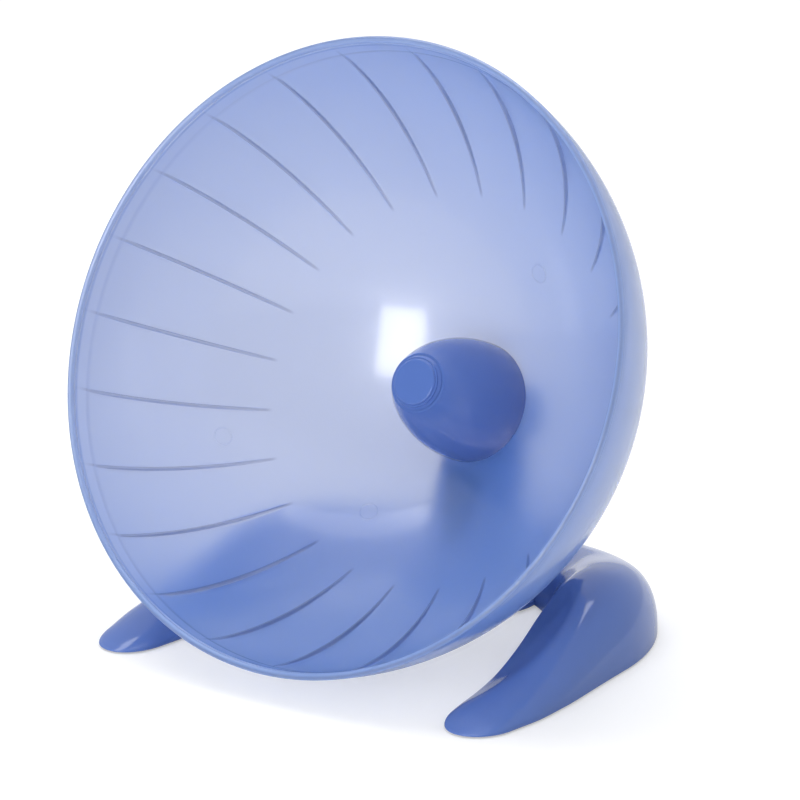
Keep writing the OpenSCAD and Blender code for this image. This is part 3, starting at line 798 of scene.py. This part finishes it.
# %% Finish of the translucent bowl
def clear_blue():
    f = Finish(bpy.data.materials.new("translucent blue plastic"))
    rung, lip_glow, painted_groove_shade, lines = bowl_masks(f)
    flow = f.mixed(f.grain(scale=14, detail=4), *MILK_BLUES)
    # Painted glow: the lip's edge is mixed towards a lighter blue.
    edge = f.mixed(lip_glow * PAINTED_GLOW_SHARE, flow, PAINTED_LIP_GLOW)
    # The rungs are darker as thicker plastic; the ring behind the lip is darkened as painted shade, and the
    # lip's fine lines are darkened too.
    dark = rung * RUNG_SHADE + painted_groove_shade * GROOVE_SHADE + lines * LINE_SHADE
    tint = f.mixed(dark, edge, RUNG_AND_SHADE_BLUE)
    skin = f.bump(f.grain(scale=900, detail=2), strength=0.05, distance=0.0004)

    body = f.principled(
        Base_Color=tint, Roughness=MILK_ROUGH, IOR=PLASTIC_IOR, Normal=skin, **MOULD_POLISH,
    )
    passed = f.node("ShaderNodeBsdfTranslucent", inputs={"Color": THROUGH_BLUE, "Normal": skin})
    milk = f.stacked(LIT_THROUGH, body, passed)
    clear = f.principled(
        Base_Color=CLEAR_TINT, Roughness=CLEAR_ROUGH, IOR=PLASTIC_IOR, Transmission_Weight=1.0,
        Normal=skin, **MOULD_POLISH,
    )

    slant = f.node("ShaderNodeLayerWeight", inputs={"Blend": 0.5, "Normal": skin}, output="Facing")
    entering = 1 - f.node("ShaderNodeNewGeometry", output="Backfacing")
    wall = f.ramp(slant, MILK_AT_SLANT)
    thick = rung + lip_glow + painted_groove_shade
    milkiness = (wall + thick * MILK_IN_THICK * (1 - wall)) * entering
    return f.close(f.stacked(milkiness, clear, milk))


FINISHES = {"clear_blue_plastic": clear_blue()}

# %% [markdown]
# ## Solid blue plastic
# Stand, hub, cap and plug are opaque mouldings from a polished mould: one even blue that flows a little in
# colour, with a hard clear reflection and hardly any grain. A single colour would look like paint, so a
# slow noise mixes two close blues and a fine one lifts the skin.


# %% Finish of the solid plastic
def solid_blue():
    f = Finish(bpy.data.materials.new("solid blue plastic"))
    tint = f.mixed(f.grain(scale=20, detail=4), srgb(88, 117, 185), srgb(82, 111, 180))
    skin = f.bump(f.grain(scale=700, detail=2), strength=0.05, distance=0.0004)
    return f.close(f.principled(Base_Color=tint, Roughness=0.08, IOR=1.5, Normal=skin))


FINISHES["solid_blue_plastic"] = solid_blue()

# %% [markdown]
# ## Finishes of the hidden pieces
# The axle and its screws are zinc plated steel, the bushes and the thrust washer are natural slippery
# plastic, and the pads are matt rubber. Plain colours would do while they are hidden, but a part from a
# library is seen from all sides. Each is made the same way: two close tones mixed by a noise, a roughness
# that follows another noise, and a fine bump.


# %% Steel, natural plastic and rubber
def plain_finish(name, tones, tone_grain, dull_grain, dull_stops, skin_grain, skin_bump, **more):
    """Two close tones, a roughness and a fine bump; a grain is (scale, detail), a bump (strength, m)."""
    f = Finish(bpy.data.materials.new(name))
    tint = f.mixed(f.grain(*tone_grain), *tones)
    rough = f.ramp(f.grain(*dull_grain), dull_stops)
    skin = f.bump(f.grain(*skin_grain), *skin_bump)
    return f.close(f.principled(Base_Color=tint, Roughness=rough, Normal=skin, **more))


FINISHES["steel"] = plain_finish(
    "bright zinc on steel", tones=(srgb(196, 198, 202), srgb(178, 181, 186)), tone_grain=(260, 4),
    dull_grain=(120, 3), dull_stops=[(0.35, 0.24), (0.7, 0.38)],
    skin_grain=(1400, 2), skin_bump=(0.08, 0.0002), Metallic=1.0,
)
FINISHES["natural_plastic"] = plain_finish(
    "natural slippery plastic", tones=(srgb(236, 235, 226), srgb(228, 227, 217)), tone_grain=(60, 3),
    dull_grain=(200, 3), dull_stops=[(0.3, 0.38), (0.7, 0.5)],
    skin_grain=(1100, 2), skin_bump=(0.06, 0.0002), IOR=1.48,
)
FINISHES["rubber"] = plain_finish(
    "matt rubber", tones=(srgb(46, 46, 49), srgb(36, 36, 39)), tone_grain=(90, 4),
    dull_grain=(300, 3), dull_stops=[(0.3, 0.74), (0.7, 0.9)],
    skin_grain=(1600, 3), skin_bump=(0.25, 0.0003), IOR=1.5,
)

# %% [markdown]
# ## Hand the finishes out
# The two new mouldings get their material straight on the mesh. The other pieces are the CAD's own meshes,
# kept as they are, so only the materials in their slots change.

# %% Hand the finishes out
CARRIED = {
    "solid_blue_plastic": ["hub_cone", "hub_cap", "rear_plug"],
    "steel": ["axle", "axle_nut", "lock_washer", "end_washer", "end_screw", "hub_screws"],
    "natural_plastic": ["front_bush", "rear_bush", "thrust_washer"],
    "rubber": ["left_front_pad", "right_front_pad", "left_rear_pad", "right_rear_pad"],
}
for piece, finish in ((bowl, "clear_blue_plastic"), (stand, "solid_blue_plastic")):
    piece.data.materials.clear()
    piece.data.materials.append(FINISHES[finish])
for finish, nodes in CARRIED.items():
    for node in nodes:
        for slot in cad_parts[node].material_slots:
            slot.material = FINISHES[finish]
print("finishes:", len(FINISHES), "on", 2 + sum(len(nodes) for nodes in CARRIED.values()), "pieces")

# %% [markdown]
# ## Floor
# The photograph has a pure white background and a pale soft shadow. The floor is a large pale plane of
# paper. For the camera and in mirrored rays it glows a little, so that it reads as white while the shadow
# stays; more light from the lamps would wash the plastic out. Light that goes through the bowl counts as
# mirrored too, because the clear part is rough, so it is taken off.

# %% Floor
FLOOR_HALF = 6  # m
PAPER, WHITE = (0.66, 0.66, 0.66, 1), (1, 1, 1, 1)
GLOW_SEEN, GLOW_MIRRORED = 0.38, 0.12

corners = [(x * FLOOR_HALF, y * FLOOR_HALF, 0) for x, y in ((-1, -1), (1, -1), (1, 1), (-1, 1))]
floor_mesh = bpy.data.meshes.new("floor")
floor_mesh.from_pydata(corners, [], [(0, 1, 2, 3)])
floor = bpy.data.objects.new("floor", floor_mesh)
bpy.context.scene.collection.objects.link(floor)

paper = Finish(bpy.data.materials.new("white paper"))
mirrored = paper.ray("Is Glossy Ray") * (1 - paper.ray("Is Transmission Ray"))
strength = paper.ray("Is Camera Ray") * GLOW_SEEN + mirrored * GLOW_MIRRORED
lit = paper.node("ShaderNodeBsdfDiffuse", inputs={"Color": PAPER})
glow = paper.node("ShaderNodeEmission", inputs={"Color": WHITE, "Strength": strength})
floor_mesh.materials.append(paper.close(paper.node("ShaderNodeAddShader", inputs={0: lit, 1: glow})))

# %% [markdown]
# ## Surroundings
# White surroundings light the wheel evenly from all sides. The camera, and rays that go through the bowl,
# see them as full white. Mirrored rays see them bright behind and above and dark in front, as in a room
# with one pale side, which gives the stand its lighter back and its deep blue front. An image of a studio
# would do the same, but a ramp on the ray's own direction is enough.

# %% Sky
AROUND, IN_FRONT, BEHIND = 0.76, 0.10, 0.68  # strength for the even light, and in mirrored rays
PALE_BACK, PALE_UP = 0.55, 0.83  # direction of the pale side
PALE_EDGE = [(0.28, 0.0), (0.40, 1.0)]

sky = Finish(bpy.data.worlds.new("studio"))
through = sky.ray("Is Transmission Ray")
shown = sky.ray("Is Camera Ray").maths("MAXIMUM", through)
mirrored = sky.ray("Is Glossy Ray") * (1 - through)
towards = sky.node("ShaderNodeTexCoord", output="Generated")
back, up = (sky.node("ShaderNodeSeparateXYZ", inputs={0: towards}, output=axis) for axis in ("Y", "Z"))
pale = sky.ramp(back * PALE_BACK + up * PALE_UP, PALE_EDGE)
dimmed = mirrored * ((AROUND - IN_FRONT) - pale * (BEHIND - IN_FRONT))
strength = AROUND + shown * (1 - AROUND) - dimmed
background = sky.node("ShaderNodeBackground", inputs={"Color": WHITE, "Strength": strength})
bpy.context.scene.world = sky.close(background, "ShaderNodeOutputWorld")

# %% [markdown]
# ## Lamps
# A tall soft box in front lights the inside of the bowl and leaves the bright spot beside the hub. A large
# one overhead, a little behind and to the left, throws the pale shadow on the floor. The colours are meant
# as they are, so the view transform is Standard.


# %% Lamps
def lamp(name, at, aim, width, height, power, turn=0.0):
    """A soft box at a place, facing a point; sizes in metres, power in watts."""
    data = bpy.data.lights.new(name, "AREA")
    data.shape, data.size, data.size_y, data.energy = "RECTANGLE", width, height, power
    light = bpy.data.objects.new(name, data)
    light.location = at
    light.rotation_euler = (Vector(aim) - Vector(at)).to_track_quat("-Z", "Y").to_euler()
    light.rotation_euler.z += turn
    bpy.context.scene.collection.objects.link(light)
    print(name, "watts:", power)


lamp("key", at=(0.02, -1.38, 0.36), aim=(0, 0, 0.125), width=0.43, height=0.62, power=8.0)
lamp(
    "overhead", at=(-0.52, 0.25, 1.9), aim=(-0.52, 0.25, 0), width=1.6, height=1.6, power=22,
    turn=math.radians(20),
)
bpy.context.scene.view_settings.view_transform = "Standard"
